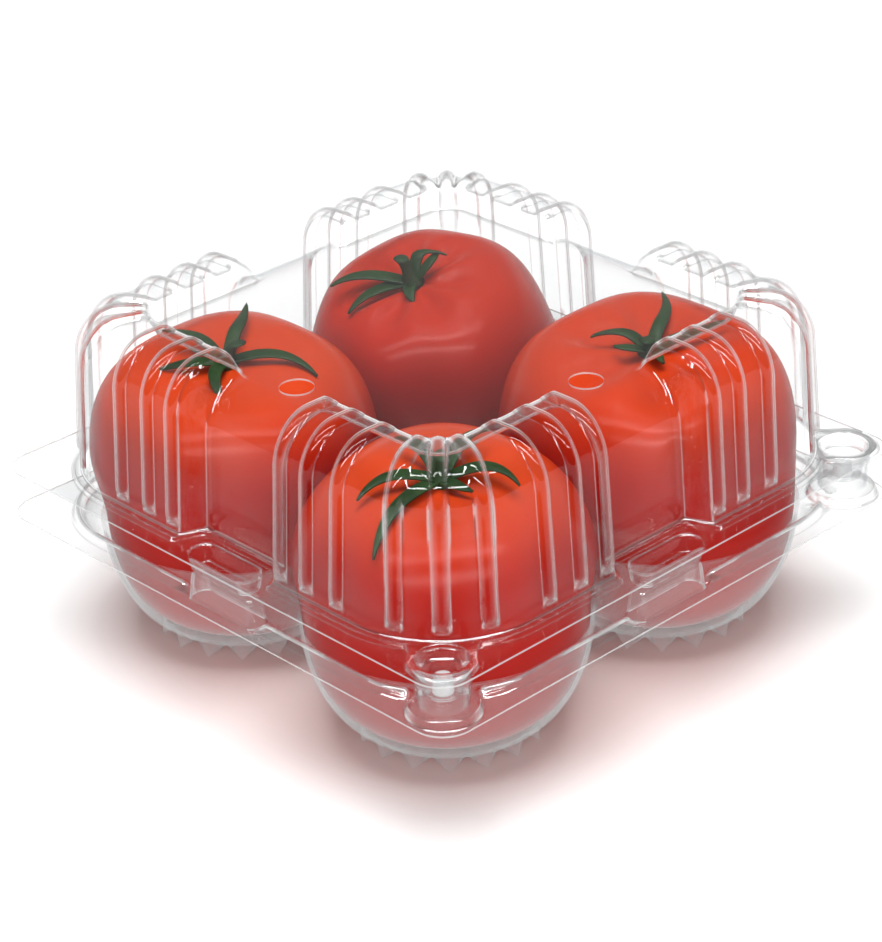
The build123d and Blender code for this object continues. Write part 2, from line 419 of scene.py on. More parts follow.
def mix_shaders(nodes, factor, first, second):
    """Blend of two shaders. The factor is a socket or a number."""
    node = new_node(nodes, "MixShader")
    if isinstance(factor, float):
        node.inputs[0].default_value = factor
    else:
        link(factor, node.inputs[0])
    link(first.outputs[0], node.inputs[1])
    link(second.outputs[0], node.inputs[2])
    return node


def point_value(nodes, name):
    """Number stored with each point of a piece."""
    node = new_node(nodes, "Attribute")
    node.attribute_name = name
    return node.outputs["Fac"]


def patches(nodes, scale):
    """Soft random patches that stay on the surface."""
    place = new_node(nodes, "TexCoord")
    noise = new_node(nodes, "TexNoise", {"Scale": scale, "Detail": 2.0})
    link(place.outputs["Object"], noise.inputs["Vector"])
    return noise.outputs["Fac"]


# Materials
def clear_plastic(name, face_shine, edge_shine, bend_shine, crease_shine, edge_tint, roughness):
    """Thin clear sheet: see-through face on, mirror-like at the edge and in tight bends."""
    face_tint = (0.996, 0.997, 0.997)
    grazing_power = 3.0
    edge_power = 4.0
    crease_power = 10.0
    material, nodes, output = new_material(name)
    weight = new_node(nodes, "LayerWeight", {"Blend": 0.5})
    facing = weight.outputs["Facing"]
    grazing = maths(nodes, "POWER", facing, grazing_power)
    bend = point_value(nodes, "bend")
    edge = maths(nodes, "MULTIPLY", maths(nodes, "POWER", facing, edge_power), edge_shine)
    shine = maths(nodes, "ADD", edge, face_shine)
    bent = maths(nodes, "MULTIPLY", bend, maths(nodes, "MULTIPLY", grazing, bend_shine))
    shine = maths(nodes, "ADD", shine, bent)
    crease = maths(nodes, "MULTIPLY", maths(nodes, "POWER", bend, crease_power), crease_shine)
    shine = maths(nodes, "ADD", shine, crease)
    through = new_node(nodes, "BsdfTransparent")
    link(mix_colours(nodes, grazing, face_tint, edge_tint), through.inputs["Color"])
    mirror = new_node(nodes, "BsdfGlossy", {"Color": (1, 1, 1, 1), "Roughness": roughness})
    link(mix_shaders(nodes, shine, through, mirror).outputs[0], output.inputs["Surface"])
    return material


def cut_edge(name):
    """Trimmed edge of the sheet, where light gathers into a pale line."""
    pale_share = 0.62
    material, nodes, output = new_material(name)
    through = new_node(nodes, "BsdfTransparent")
    pale = new_node(nodes, "BsdfPrincipled", {"Base Color": (0.80, 0.82, 0.83, 1), "Roughness": 0.25})
    link(mix_shaders(nodes, pale_share, through, pale).outputs[0], output.inputs["Surface"])
    return material


def tomato_skin(name, deep, bright, warm):
    """Glossy ripe skin with soft patches and a warmer crown."""
    material, nodes, output = new_material(name)
    gloss = {"Roughness": 0.25, "Specular IOR Level": 0.2}
    depth = {"Subsurface Weight": 0.12, "Subsurface Radius": (0.006, 0.0015, 0.0008)}
    skin = new_node(nodes, "BsdfPrincipled", {**gloss, **depth})
    ripe = mix_colours(nodes, patches(nodes, scale=26.0), deep, bright)
    colour = mix_colours(nodes, point_value(nodes, "crown"), ripe, warm)
    link(colour, skin.inputs["Base Color"])
    link(skin.outputs[0], output.inputs["Surface"])
    return material


def leaf_green(name, dark, light):
    """Dull leaf with a fine grain of two greens."""
    material, nodes, output = new_material(name)
    leaf = new_node(nodes, "BsdfPrincipled", {"Roughness": 0.55})
    colour = mix_colours(nodes, patches(nodes, scale=160.0), dark, light)
    link(colour, leaf.inputs["Base Color"])
    link(leaf.outputs[0], output.inputs["Surface"])
    return material


lid_plastic = clear_plastic(
    "lid_plastic", face_shine=0.020, edge_shine=0.45, bend_shine=2.2, crease_shine=0.28,
    edge_tint=(0.80, 0.815, 0.825), roughness=0.03)
tray_plastic = clear_plastic(
    "tray_plastic", face_shine=0.030, edge_shine=0.45, bend_shine=1.8, crease_shine=0.22,
    edge_tint=(0.80, 0.815, 0.825), roughness=0.04)
bowl_plastic = clear_plastic(
    "bowl_plastic", face_shine=0.12, edge_shine=0.26, bend_shine=0.0, crease_shine=0.0,
    edge_tint=(0.86, 0.865, 0.87), roughness=0.12)
# Teeth: the grazing tint of the sheet, but much darker, as painted shade for teeth that sit in the pack's
# shadow on the floor
tooth_plastic_painted_shade = clear_plastic(
    "tooth_plastic_painted_shade", face_shine=0.09, edge_shine=0.45, bend_shine=0.0, crease_shine=0.0,
    edge_tint=(0.55, 0.53, 0.53), roughness=0.08)
edge_plastic = cut_edge("edge_plastic")
red_skin = tomato_skin(
    "red_skin", deep=(0.36, 0.006, 0.004), bright=(0.52, 0.013, 0.006), warm=(0.62, 0.060, 0.008))
green_leaf = leaf_green("green_leaf", dark=(0.006, 0.020, 0.006), light=(0.022, 0.062, 0.012))


# Places and loops that lid and tray share
def latch_loop(half_length, half_width, corner, side):
    """Oblong plan loop at a latch, its long way along the side."""
    turn = latch_turns[side]
    outward = (math.cos(math.radians(turn)), math.sin(math.radians(turn)))
    loop = rounded_rectangle(half_width, half_length, corner, steps=5, parts=6)
    return turned(loop, turn, outward[0] * latch_place, outward[1] * latch_place)


def latch_edges(step, widen=0.0):
    """Plan loops of the three latches at one of their steps."""
    return [latch_loop(*(size + widen for size in step[:3]), side) for side in latch_turns]


def round_loops(section, x, y):
    """Level circles round a point, from a section of (radius, level)."""
    return [at_level(circle(radius, x, y, round_points), level) for radius, level in section]


def flange_loop():
    """Trimmed edge of lid and tray."""
    return rounded_rectangle(flange_half, flange_half, flange_corner, steps=10, gap=6.0)


def add_hinge_lip(surface, top, bottom):
    """Upright strip beside the fold, between two levels."""
    along = np.linspace(-hinge_half, hinge_half, 21)
    count = len(along)
    points = [(x, flange_half, level) for level in (top, bottom) for x in along]
    surface.add(points, [(i, i + 1, count + i + 1, count + i) for i in range(count - 1)])


# Lid: stations round the foot of the wall
def station_list():
    """Stations round the lid's wall, each as (point on the foot line, outward normal, distance from the
    side's middle or None, corner angle or None, whether its corner has a plug)."""
    places = [0.0]
    places += list(np.linspace(0, waist_lobe_start, 8)[1:])
    places += list(np.linspace(waist_lobe_start, waist_lobe_end, 9)[1:])
    for place in rib_places:
        places += list(place + rib_half_width * np.sin(np.linspace(-np.pi / 2, np.pi / 2, 9)))
        places.append(place + rib_half_width + guard)
    places += between_ribs
    places += [place - rib_half_width - guard for place in rib_places[1:]]
    places = sorted(set(np.round(places, 4)))
    side = [-place for place in reversed(places[1:])] + places
    turns = np.linspace(0, 90, 81)
    stations = []
    for quarter in range(4):
        base = math.radians(90 * quarter)
        normal = np.array([math.cos(base), math.sin(base)])
        along = np.array([-normal[1], normal[0]])
        for place in side:
            stations.append((normal * wall_half + along * place, normal, abs(place), None, False))
        middle = (normal + along) * corner_axis
        for turn in turns:
            angle = base + math.radians(turn)
            outward = np.array([math.cos(angle), math.sin(angle)])
            stations.append((middle + outward * wall_corner, outward, None, turn, middle[1] < 0))
    return stations


def lobe_share(place):
    """0 in a waist and 1 in a lobe, by the distance from the side's middle."""
    return float(smooth_step(place, waist_lobe_start, waist_lobe_end))


def step_place(place, turn, has_plug):
    """How far in from the wall's foot line the flange's step lies. It swings out round each plug."""
    if turn is None:
        weight = lobe_share(place)
        band = waist_band + (lobe_band - waist_band) * weight
        return waist_depth * (1 - weight) - foot_fillet - band
    reach = foot_fillet + lobe_band
    if has_plug:
        away = math.radians(abs(turn - 45))
        half = math.sqrt(max(plug_disc ** 2 - (plug_reach * math.sin(away)) ** 2, 0))
        around = plug_reach * math.cos(away) + half - wall_corner
        reach += (around - reach) * (1 - float(smooth_step(abs(turn - 45), *plug_turns)))
    return -reach


def step_loop(widen):
    """Plan loop along the flange's step, moved out by widen."""
    loop = []
    for foot, normal, place, turn, has_plug in station_list():
        loop.append(foot - normal * (step_place(place, turn, has_plug) - widen))
    return np.array(loop)


# Lid: sections of lobe and waist
def foot_fillet_points(inwards):
    """Section points of the small fillet between the raised band and the wall."""
    points = []
    for turn in np.linspace(0, np.pi / 2, 5):
        rise = foot_fillet * (1 - np.cos(turn))
        points.append((inwards - foot_fillet * (1 - np.sin(turn)), sheet + step_rise + rise))
    return points


def lobe_section():
    """Points (distance in, height over the flange's underside) up the wall, over the shoulder and the
    crest, and the share of a rib's height at each."""
    points = foot_fillet_points(0.0)
    wall_rows = (3.2, 4.0, 5.0, 6.0, 7.5, 10.0, 14.0, 18.0, 22.0, 26.0, 30.0, wall_height)
    for height in wall_rows:
        points.append((wall_slope * height, height))
    foot = wall_slope * wall_height
    for turn in np.linspace(0, np.pi / 2, 13)[1:]:
        inwards = crest_start - (crest_start - foot) * np.cos(turn)
        points.append((inwards, wall_height + (lid_depth - wall_height) * np.sin(turn)))
    for inwards in np.linspace(crest_start, crest_end, 5)[1:]:
        points.append((inwards, lid_depth))
    for share in np.linspace(0, 1, 8)[1:]:
        drop = (lid_depth - panel_depth) * float(smooth_step(share, 0, 1))
        points.append((crest_end + (slope_end - crest_end) * share, lid_depth - drop))
    points.append((panel_edge, panel_depth))
    points = np.array(points)
    rib = smooth_step(points[:, 1], rib_foot, rib_foot + rib_run_in)
    rib = rib * (1 - smooth_step(points[:, 0], crest_end - rib_end_before, crest_end + rib_end_after))
    return points, rib


def waist_section():
    """As many points for a waist: wall, round shoulder and panel."""
    rows = 12
    first_row = 0.09
    points = foot_fillet_points(waist_depth)
    low = panel_depth - waist_round
    for share in np.linspace(first_row, 1, rows):
        points.append((waist_depth + wall_slope * low * share, low * share))
    start = waist_depth + wall_slope * low
    for turn in np.linspace(0, np.pi / 2, rows + 1)[1:]:
        points.append((start + waist_round * (1 - np.cos(turn)), low + waist_round * np.sin(turn)))
    for inwards in np.linspace(start + waist_round, waist_edge, rows + 1)[1:]:
        points.append((inwards, panel_depth))
    return np.array(points)


def section_normals(points):
    """Outward normals of a section, as (away from the pack's middle, up)."""
    slope = np.gradient(points, axis=0)
    length = np.maximum(np.hypot(slope[:, 0], slope[:, 1]), 1e-9)
    return np.column_stack([slope[:, 1] / length, slope[:, 0] / length])


def rib_bump(distance):
    """Round-backed rib, 1 on its back and 0 at its feet."""
    radius = (rib_half_width ** 2 + rib_height ** 2) / (2 * rib_height)
    across = np.clip(np.abs(distance), 0, rib_half_width)
    return (np.sqrt(radius ** 2 - across ** 2) - (radius - rib_height)) / rib_height


def lid_rings():
    """Rings of the lid from the wall's foot up to the panel's edge."""
    lobe, rib_share = lobe_section()
    waist = waist_section()
    lobe_normals = section_normals(lobe)
    columns = []
    for foot, normal, place, turn, _ in station_list():
        if place is None:
            weight = 1.0
            radius = wall_corner - lobe[:, 0]
            gaps = [np.radians(turn - rib) * radius for rib in rib_turns]
        else:
            weight = lobe_share(place)
            gaps = [np.full(len(lobe), place - rib) for rib in rib_places]
        bump = np.max([rib_bump(gap) for gap in gaps], axis=0) * rib_share * rib_height * weight
        section = waist + (lobe - waist) * weight
        inwards = section[:, 0] - lobe_normals[:, 0] * bump
        height = section[:, 1] + lobe_normals[:, 1] * bump
        plan = foot[None, :] - normal[None, :] * inwards[:, None]
        columns.append(np.column_stack([plan, lid_level + height]))
    columns = np.array(columns)
    return [columns[:, row, :] for row in range(columns.shape[1])]


# Lid: flange, latches, plugs and panel
def add_lid_flange(surface, wall_foot):
    """Raised band at the wall's foot, its step and the flange with the latch holes."""
    plug_holes = [circle(plug_radius, x, y, round_points) for x, y in plugs]
    plan, triangles = fill(step_loop(0), [wall_foot, *plug_holes])
    surface.add(at_level(plan, lid_top + step_rise), triangles)
    step_rows = ((0.0, 1.0), (0.2, 0.85), (0.8, 0.15), (1.0, 0.0))
    steps = [at_level(step_loop(step_width * out), lid_top + step_rise * up) for out, up in step_rows]
    surface.add_rings(steps)
    holes = [step_loop(step_width), *latch_edges(trough_steps[0])]
    guards = [step_loop(step_width + guard), *latch_edges(trough_steps[0], guard)]
    plan, triangles = fill(flange_loop(), holes, guards)
    surface.add(at_level(plan, lid_top), triangles)


def add_latch_troughs(surface):
    """Oblong troughs above the tray's ridges."""
    for side in latch_turns:
        loops = [at_level(latch_loop(*step[:3], side), lid_top + step[3]) for step in trough_steps]
        surface.add_rings(loops, close_end=True)


def add_plugs(surface):
    """Round funnels, each with a step and a small boss in its floor."""
    section = [(radius, lid_top - depth) for radius, depth in plug_section]
    for x, y in plugs:
        surface.add_rings(round_loops(section, x, y), close_end=True)


def add_panel(surface, edge):
    """Top panel with two vents."""
    vents = [circle(vent_radius, x, y, round_points) for x, y in ((-vent_place, 0), (0, -vent_place))]
    plan, triangles = fill(edge, vents)
    surface.add(at_level(plan, lid_level + panel_depth), triangles)


def build_lid():
    """Whole lid, one sheet."""
    surface = Surface()
    rings = lid_rings()
    surface.add_rings(rings)
    add_lid_flange(surface, rings[0][:, :2])
    add_latch_troughs(surface)
    add_plugs(surface)
    add_panel(surface, rings[-1][:, :2])
    add_hinge_lip(surface, lid_top, hinge_level + hinge_slit)
    piece = make_piece("lid_look", surface.points, surface.faces, lid_plastic)
    face_upwards(piece)
    mark_bends(piece)
    thicken(piece, sheet, edge_plastic)
    # The bosses gather light as the trimmed edge does
    edge_index = 1
    for face in piece.data.polygons:
        place = face.center / to_metres
        away = min(math.hypot(place.x - x, place.y - y) for x, y in plugs)
        if away < plug_boss and place.z < lid_top:
            face.material_index = edge_index
    return piece


# Tray
def bead_lift(plan):
    """Height of the rim bead over the flange at plan points."""
    x, y = np.abs(plan[:, 0]), np.abs(plan[:, 1])
    axis = bead_half - bead_corner
    over_x, over_y = np.maximum(x - axis, 0), np.maximum(y - axis, 0)
    corner = np.hypot(over_x, over_y)
    reach = np.where((over_x > 0) & (over_y > 0), corner, np.maximum(over_x, over_y))
    share = np.clip(np.abs(reach - bead_corner) / bead_width, 0, 1)
    lift = bead_height * np.cos(share * np.pi / 2) ** bead_curve
    for plug_x, plug_y in plugs:
        away = np.hypot(plan[:, 0] - plug_x, plan[:, 1] - plug_y)
        lift = lift * smooth_step(away, *bead_plug_gap)
    beside_latch = np.where(x > y, y, np.where(plan[:, 1] < 0, x, bead_half))
    return lift * smooth_step(beside_latch, *bead_latch_gap)


def pedestal_lift(plan):
    """Height of the round pedestals over the flange at plan points."""
    lift = np.zeros(len(plan))
    for plug_x, plug_y in plugs:
        away = np.hypot(plan[:, 0] - plug_x, plan[:, 1] - plug_y)
        lift = np.maximum(lift, pedestal_height * (1 - smooth_step(away, *pedestal_edge)))
    return lift


def tray_height_at(plan):
    """Level of the tray's flange, with its bead and pedestals, at plan points."""
    return tray_level + np.maximum(bead_lift(plan), pedestal_lift(plan))


def bead_loop(offset):
    """Plan loop along the rim bead, moved out from its back."""
    half = bead_half + offset
    return rounded_rectangle(half, half, bead_corner + offset, steps=24, gap=3.0)


def tooth_share(turns):
    """1 at each foot tooth's point and 0 at the top of the arches between them."""
    return (1 - np.abs(np.sin(turns * foot_teeth / 2))) ** tooth_point


def bowl_loops(x, y):
    """Loops of one bowl from its rim down: a round wall, a ring of pointed teeth and a flat floor."""
    turns = 2 * np.pi * np.arange(bowl_points) / bowl_points
    tooth = tooth_share(turns)
    depth = tray_level - bowl_floor
    loops = [at_level(circle(bowl_rim, x, y, bowl_points), tray_level)]
    for turn in np.linspace(0, np.pi / 2, 24)[1:]:
        radius = bowl_flat + (bowl_radius - bowl_flat) * math.cos(turn)
        level = tray_level - depth * math.sin(turn)
        if radius > tooth_tip:
            loops.append(at_level(circle(radius, x, y, bowl_points), level))
    root_turn = math.acos((tooth_tip - bowl_flat) / (bowl_radius - bowl_flat))
    start = tray_level - depth * math.sin(root_turn)
    for share in np.linspace(0, 1, 5):
        level = start + (sheet - start) * share * tooth - arch_dip * share * (1 - tooth)
        reach = tooth_tip + tooth_flare * share * tooth - arch_inset * share * (1 - tooth)
        loops.append(np.column_stack([x + reach * np.cos(turns), y + reach * np.sin(turns), level]))
    outer = loops[-1]
    middle = np.array([x, y, 0])
    for share in np.linspace(0, 1, 5)[1:]:
        scale = 1 - share * (1 - tooth_root / tooth_tip)
        loop = middle + (outer - middle) * np.array([scale, scale, 1])
        loop[:, 2] = outer[:, 2] + (bowl_floor - outer[:, 2]) * share
        loops.append(loop)
    loops.append(at_level(circle(bowl_flat / 2, x, y, bowl_points), bowl_floor))
    return loops


def add_tray_flange(surface):
    """Flange with the rim bead and the pedestals, and holes for bowls, latch ridges and plug cups."""
    holes = [circle(bowl_rim, x, y, bowl_points) for x, y in bowls]
    holes += latch_edges(ridge_steps[0])
    holes += [circle(cup_radius, x, y, round_points) for x, y in plugs]
    lines = [bead_loop(offset) for offset in (*bead_lines, bead_lines[-1] + guard)]
    lines += [circle(bowl_rim + guard / 2, x, y, bowl_points) for x, y in bowls]
    lines += latch_edges(ridge_steps[0], guard)
    for x, y in plugs:
        lines += [circle(radius, x, y, round_points) for radius in pedestal_lines]
    plan, triangles = fill(flange_loop(), holes, lines)
    surface.add(np.column_stack([plan, tray_height_at(plan)]), triangles)


def add_latch_ridges(surface):
    """Oblong ridges under the lid's troughs."""
    for side in latch_turns:
        loops = []
        for half_length, half_width, corner, rise in ridge_steps:
            loop = latch_loop(half_length, half_width, corner, side)
            base = tray_height_at(loop) if rise == 0 else tray_level + rise
            loops.append(np.column_stack([loop, np.broadcast_to(base, len(loop))]))
        surface.add_rings(loops, close_end=True)


def add_plug_cups(surface):
    """Cups for the plugs, each with a wall and a floor."""
    for x, y in plugs:
        surface.add_rings(round_loops(cup_section, x, y))
        surface.add_rings(round_loops(cup_floor_section, x, y), close_end=True)


def build_tray():
    """Whole tray, one sheet."""
    surface = Surface()
    add_tray_flange(surface)
    for x, y in bowls:
        surface.add_rings(bowl_loops(x, y), close_end=True)
    add_latch_ridges(surface)
    add_plug_cups(surface)
    add_hinge_lip(surface, hinge_level - hinge_slit, tray_level)
    piece = make_piece("tray_look", surface.points, surface.faces, tray_plastic)
    face_upwards(piece)
    mark_bends(piece, [(x, y, bowl_rim + guard) for x, y in bowls])
    thicken(piece, sheet, edge_plastic)
    piece.data.materials.append(bowl_plastic)
    piece.data.materials.append(tooth_plastic_painted_shade)
    bowl_index = 2
    tooth_index = 3
    # Faces low on the teeth get the darker tooth material, which is painted shade; higher faces below the
    # veil level get the bowl material
    for face in piece.data.polygons:
        if face.center.z < tooth_level * to_metres:
            face.material_index = tooth_index
        elif face.center.z < bowl_veil_level * to_metres:
            face.material_index = bowl_index
    return piece


# Tomatoes
def tilt_axis(towards):
    """Level axis that leans a tomato's crown towards a plan direction, in degrees from +X."""
    angle = math.radians(towards)
    return Vector((-math.sin(angle), math.cos(angle), 0))


def tomato_points(look, rows, columns):
    """Points of an upright tomato about its widest level, row by row from the crown."""
    low_lobes = 0.30
    second_wave = 0.5
    second_phase = 2.1
    highest_wave = 1 + second_wave
    furrow_share = 0.25
    furrow_start = 0.25
    dimple_reach = 0.42
    down = np.linspace(0, np.pi, rows)[:, None]
    around = np.linspace(0, 2 * np.pi, columns, endpoint=False)[None, :]
    level = np.cos(down)
    bulge = np.where(level > 0, look["shoulder"], seat_bulge)
    profile = np.clip(1 - np.abs(level) ** bulge, 0, 1) ** (1 / bulge)
    fade = np.sin(down) * (low_lobes + (1 - low_lobes) * np.clip(level, 0, 1))
    lobes = np.cos(look["lobes"] * around + look["phase"])
    wave = lobes + second_wave * np.cos((look["lobes"] - 2) * around + second_phase * look["phase"])
    radius = look["width"] * profile * (1 + look["lobe_size"] * fade * (wave - highest_wave))
    height = np.where(level > 0, look["rise"], look["middle"] - tomato_bottom) * level
    furrow = 1 + furrow_share * lobes * smooth_step(down, 0, furrow_start)
    height = height - look["dimple"] * furrow * np.exp(-((down / dimple_reach) ** 2))
    return np.stack([radius * np.cos(around), radius * np.sin(around), height], axis=-1).reshape(-1, 3)


def soft_press(past, reach):
    """How far to move back points that are past a limit, with a soft start at reach before it."""
    return np.where(past > reach, past, np.maximum(past + reach, 0) ** 2 / (4 * reach))


def hold_inside_lid(points):
    """Presses points softly inwards where they come near or past the lid's wall."""
    height = np.clip(points[:, 2] - lid_level, 0, wall_height)
    covered = smooth_step(points[:, 2], lid_level - covered_below, lid_level + covered_above)
    for out, along in ((0, 1), (1, 0)):
        weight = smooth_step(np.abs(points[:, along]), waist_lobe_start, waist_lobe_end)
        limit = wall_half - sheet - lid_gap - waist_depth * (1 - weight) - wall_slope * height
        press = soft_press(np.abs(points[:, out]) - limit, press_range)
        points[:, out] -= np.sign(points[:, out]) * press * covered


def build_tomato(name, x, y, look):
    """Ripe tomato with soft lobes and a sunk crown. Above the bowl's rim it grows squarer and leans.
    Also gives the turn and the place of its crown."""
    rows = 80
    columns = 144
    points = tomato_points(look, rows, columns)
    rotation = np.array(Matrix.Rotation(look["tilt"], 3, tilt_axis(look["towards"])))
    above = smooth_step(points[:, 2] + look["middle"], tray_level, tray_level + lean_rise)
    points = points + (points @ rotation.T - points) * above[:, None]
    turn = np.arctan2(points[:, 1], points[:, 0])
    growth = 1 + look["square"] * above * np.sin(2 * turn) ** 2
    points[:, :2] = points[:, :2] * growth[:, None]
    shift = np.array([1, -1, 0]) / math.sqrt(2) * look["shift"]
    place = np.array([x, y, look["middle"]])
    points = points + shift * above[:, None] + place
    hold_inside_lid(points)
    surface = Surface()
    surface.add_rings(points.reshape(rows, columns, 3))
    piece = make_piece(name, surface.points, surface.faces, red_skin, join=0.001)
    top = np.array([vertex.co.z for vertex in piece.data.vertices]) / to_metres
    store_values(piece, "crown", look["warm"] * smooth_step(top, crown_low, crown_high))
    crown_place = rotation @ np.array([0, 0, look["rise"] - look["dimple"]]) + shift + place
    return piece, rotation, crown_place


def sepal_strip(turn, length, rise, droop, bend):
    """Points and faces of one narrow curled sepal, which rises from the stem and then droops."""
    steps = 14
    widest = 1.7
    tip_half = 0.12
    root_width = 0.30
    root_out = 1.5
    root_lift = 1.0
    fold_share = 0.45
    edge_curve = 0.8
    droop_curve = 2.5
    rows = []
    for step in range(steps + 1):
        share = step / steps
        width = math.sin(math.pi * (root_width + (1 - root_width) * share)) ** edge_curve
        half = widest * width + tip_half
        angle = math.radians(turn) + bend * share * share
        out = root_out + length * share
        lift = root_lift + rise * math.sin(share * math.pi / 2) - droop * share ** droop_curve
        side = np.array([-math.sin(angle), math.cos(angle), 0])
        middle = np.array([out * math.cos(angle), out * math.sin(angle), lift])
        fold = np.array([0, 0, fold_share * half])
        rows += [middle - side * half + fold, middle, middle + side * half + fold]
    faces = []
    for step in range(steps):
        for strip in range(2):
            low = step * 3 + strip
            faces.append((low, low + 1, low + 4, low + 3))
    return rows, faces


def stem_loops(turn, length, most_lean):
    """Loops of a stub of stem: thick at its root, narrower above and a little wider at its cut end."""
    root_radius = 3.6
    narrowing = 1.9
    narrow_rate = 1.6
    end_flare = 0.5
    flare_start = 0.75
    root_level = 0.2
    points = 14
    loops = []
    for share in np.linspace(0, 1, 10):
        lean = most_lean * share * share
        waist = narrowing * math.sin(min(1.0, share * narrow_rate) * math.pi / 2)
        radius = root_radius - waist + end_flare * smooth_step(share, flare_start, 1.0)
        ring = circle(radius, lean * math.cos(turn), lean * math.sin(turn), points)
        loops.append(at_level(ring, root_level + length * share))
    return loops


def build_calyx(name, crown_place, rotation, look):
    """Star of uneven sepals round a thick stub of stem, bent flat where they reach the lid's panel."""
    surface = Surface()
    for sepal in look["sepals"]:
        surface.add(*sepal_strip(*sepal))
    surface.add_rings(stem_loops(*look["stem"]), close_end=True)
    points = np.asarray(surface.points) @ rotation.T + crown_place
    points[:, 2] -= soft_press(points[:, 2] - panel_underside + leaf_gap, press_range)
    piece = make_piece(name, points, surface.faces, green_leaf, join=0.001)
    thicken(piece, leaf_thickness)
    return piece


lid_piece = build_lid()
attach(lid_piece, "lid")
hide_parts("lid")
tray_piece = build_tray()
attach(tray_piece, "base")
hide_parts("base_tray")

# A sepal is (plan turn in degrees, length, rise, droop, bend), a stem (plan turn in radians, length, lean)
tomato_looks = {
    "front_left": {
        "middle": 48.0, "width": 39.2, "rise": 35.5, "shoulder": 2.3, "square": 0.06, "shift": 0.0,
        "tilt": 0.22, "towards": 225, "lobes": 5, "phase": 0.4, "lobe_size": 0.016,
        "dimple": 5.0, "warm": 0.85,
        "sepals": ((140, 22, 5, 4, 0.3), (320, 20, 6, 3, -0.4), (180, 30, 4, 8, 0.2), (75, 15, 6, 1, 0.3),
                   (20, 17, 6, 1, -0.3), (255, 9, 3, 2, 0.4)),
        "stem": (0.6, 7.0, 2.5)},
    "front_right": {
        "middle": 50.0, "width": 39.2, "rise": 42.3, "shoulder": 3.0, "square": 0.09, "shift": -3.5,
        "tilt": 0.20, "towards": 232, "lobes": 6, "phase": 1.2, "lobe_size": 0.016,
        "dimple": 6.5, "warm": 0.6,
        "sepals": ((25, 28, 9, 2, 0.2), (105, 15, 7, 1, 0.5), (330, 22, 5, 2, 0.2), (235, 8, 4, 2, 0.2),
                   (175, 9, 4, 1, -0.5)),
        "stem": (3.4, 6.0, 2.0)},
    "back_left": {
        "middle": 50.0, "width": 38.8, "rise": 39.5, "shoulder": 2.8, "square": 0.07, "shift": -0.5,
        "tilt": 0.18, "towards": 222, "lobes": 5, "phase": 2.0, "lobe_size": 0.016,
        "dimple": 5.0, "warm": 0.75,
        "sepals": ((30, 26, 10, 1, 0.1), (95, 19, 7, 0, 0.2), (318, 25, 4, 5, -0.3), (205, 16, 4, 6, 0.4),
                   (160, 17, 4, 4, -0.3)),
        "stem": (5.6, 8.0, 4.0)},
    "back_right": {
        "middle": 50.0, "width": 37.0, "rise": 40.0, "shoulder": 2.6, "square": 0.02, "shift": -3.0,
        "tilt": 0.36, "towards": 190, "lobes": 7, "phase": 0.9, "lobe_size": 0.030,
        "dimple": 6.0, "warm": 0.3,
        "sepals": ((150, 20, 3, 2, 0.2), (125, 22, 6, 1, 0.2), (20, 11, 9, 2, -0.9), (325, 10, 6, 2, 0.5),
                   (215, 8, 2, 2, 0.2)),
        "stem": (1.4, 10.0, 2.0)},
}
for place, look in tomato_looks.items():
    x = bowl_spread if "right" in place else -bowl_spread
    y = bowl_spread if "back" in place else -bowl_spread
    tomato, rotation, crown_place = build_tomato("tomato_look_" + place, x, y, look)
    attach(tomato, "base")
    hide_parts("tomato_" + place)
    calyx = build_calyx("calyx_look_" + place, crown_place, rotation, look)
    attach(calyx, "base")
    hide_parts("calyx_" + place)


# Floor, world and lights, in metres
def emission(nodes, strength):
    """White glow."""
    return new_node(nodes, "Emission", {"Color": (1, 1, 1, 1), "Strength": strength})


def add_quad(name, corners, material):
    """Four-cornered sheet."""
    mesh = bpy.data.meshes.new(name)
    mesh.from_pydata(corners, [], [(0, 1, 2, 3)])
    mesh.materials.append(material)
    return add_object(name, mesh)


def floor_paint():
    """Pale paint that keeps the shadow, with a painted red shade close to the fruit, standing in for the
    shadow that light through and off the tomatoes tints. It glows to the camera further out. Mirrors see it
    white, with a dim patch before the front corner."""
    patch_place = (-0.19, -0.19, 0)
    material, nodes, output = new_material("pale_floor")
    path = new_node(nodes, "LightPath")
    place = new_node(nodes, "TexCoord")
    middle = new_node(nodes, "VectorMath")
    middle.operation = "LENGTH"
    link(place.outputs["Object"], middle.inputs[0])
    from_middle = middle.outputs["Value"]
    patch = new_node(nodes, "VectorMath")
    patch.operation = "DISTANCE"
    link(place.outputs["Object"], patch.inputs[0])
    patch.inputs[1].default_value = patch_place
    # Painted red shade on the floor near the pack, standing in for the shadow tinted red by light through
    # and off the tomatoes
    painted_red_shade = map_range(nodes, from_middle, low=0.06, high=0.122, start=0.0, end=1.0)
    colour = mix_colours(nodes, painted_red_shade, (0.94, 0.78, 0.755), (0.94, 0.94, 0.94))
    paint = new_node(nodes, "BsdfDiffuse")
    link(colour, paint.inputs["Color"])
    far = map_range(nodes, from_middle, low=0.10, high=0.50, start=0.03, end=0.70)
    glow = emission(nodes, 1.0)
    link(maths(nodes, "MULTIPLY", far, path.outputs["Is Camera Ray"]), glow.inputs["Strength"])
    seen = new_node(nodes, "AddShader")
    link(paint.outputs[0], seen.inputs[0])
    link(glow.outputs[0], seen.inputs[1])
    white = emission(nodes, 1.0)
    dim = map_range(nodes, patch.outputs["Value"], low=0.03, high=0.12, start=0.10, end=0.80)
    link(dim, white.inputs["Strength"])
    mirrored = mix_shaders(nodes, path.outputs["Is Glossy Ray"], seen, white)
    link(mirrored.outputs[0], output.inputs["Surface"])
    return material


def build_floor():
    """Wide level floor."""
    reach = 6.0
    corners = [(-reach, -reach, 0), (reach, -reach, 0), (reach, reach, 0), (-reach, reach, 0)]
    floor = add_quad("floor", corners, floor_paint())


